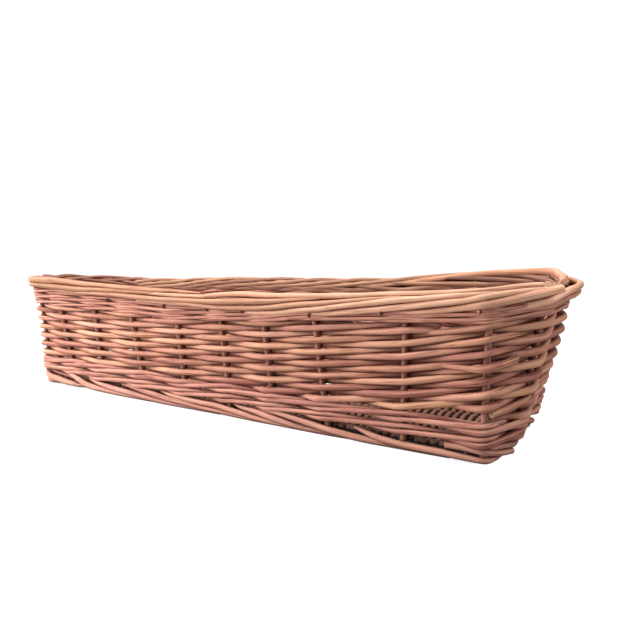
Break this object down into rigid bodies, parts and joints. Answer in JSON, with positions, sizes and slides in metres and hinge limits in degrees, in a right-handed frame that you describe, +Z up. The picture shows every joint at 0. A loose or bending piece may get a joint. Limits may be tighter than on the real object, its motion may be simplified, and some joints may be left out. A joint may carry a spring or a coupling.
{
  "type": "baguette basket",
  "caption": "Long narrow open basket of woven peeled willow with cut corners, a rolled rim and a twisted foot, for holding long loaves.",
  "frame": {"origin": "middle of the footprint, on the surface the basket stands on", "axes": "+X along the basket's length to the end nearest the viewer, +Y from the near long side to the far one, +Z up"},
  "size_m": [0.6646, 0.1672, 0.141],
  "materials": {
    "stake": "dry peeled willow, matt",
    "weaver": "dry peeled willow, faint sheen",
    "wale": "dry peeled willow, faint sheen",
    "border": "dry peeled willow, soft sheen",
    "floor": "dry peeled willow, matt"
  },
  "bodies": {
    "root": {"side_stake_01": "stake", "side_stake_02": "stake", "side_stake_03": "stake", "side_stake_04": "stake", "side_stake_05": "stake", "side_stake_06": "stake", "side_stake_07": "stake", "side_stake_08": "stake", "side_stake_09": "stake", "side_stake_10": "stake", "side_stake_11": "stake", "side_stake_12": "stake", "side_stake_13": "stake", "side_stake_14": "stake", "side_stake_15": "stake", "side_stake_16": "stake", "side_stake_17": "stake", "side_stake_18": "stake", "side_stake_19": "stake", "side_stake_20": "stake", "side_stake_21": "stake", "side_stake_22": "stake", "side_stake_23": "stake", "side_stake_24": "stake", "rand_rod_01": "weaver", "rand_rod_02": "weaver", "rand_rod_03": "weaver", "rand_rod_04": "weaver", "rand_rod_05": "weaver", "rand_rod_06": "weaver", "rand_rod_07": "weaver", "rand_rod_08": "weaver", "rand_rod_09": "weaver", "rand_rod_10": "weaver", "rand_rod_11": "weaver", "rand_rod_12": "weaver", "rand_rod_13": "weaver", "rand_rod_14": "weaver", "rand_rod_15": "weaver", "rand_rod_16": "weaver", "rand_rod_17": "weaver", "rand_rod_18": "weaver", "rand_rod_19": "weaver", "rand_rod_20": "weaver", "rand_rod_21": "weaver", "rand_rod_22": "weaver", "rand_rod_23": "weaver", "rand_rod_24": "weaver", "foot_border": "border", "bottom_wale": "wale", "top_wale": "wale", "rolled_border": "border", "floor_weave": "floor", "floor_stick_01": "floor", "floor_stick_02": "floor", "floor_stick_03": "floor", "floor_stick_04": "floor", "floor_stick_05": "floor"}
  },
  "joints": []
}
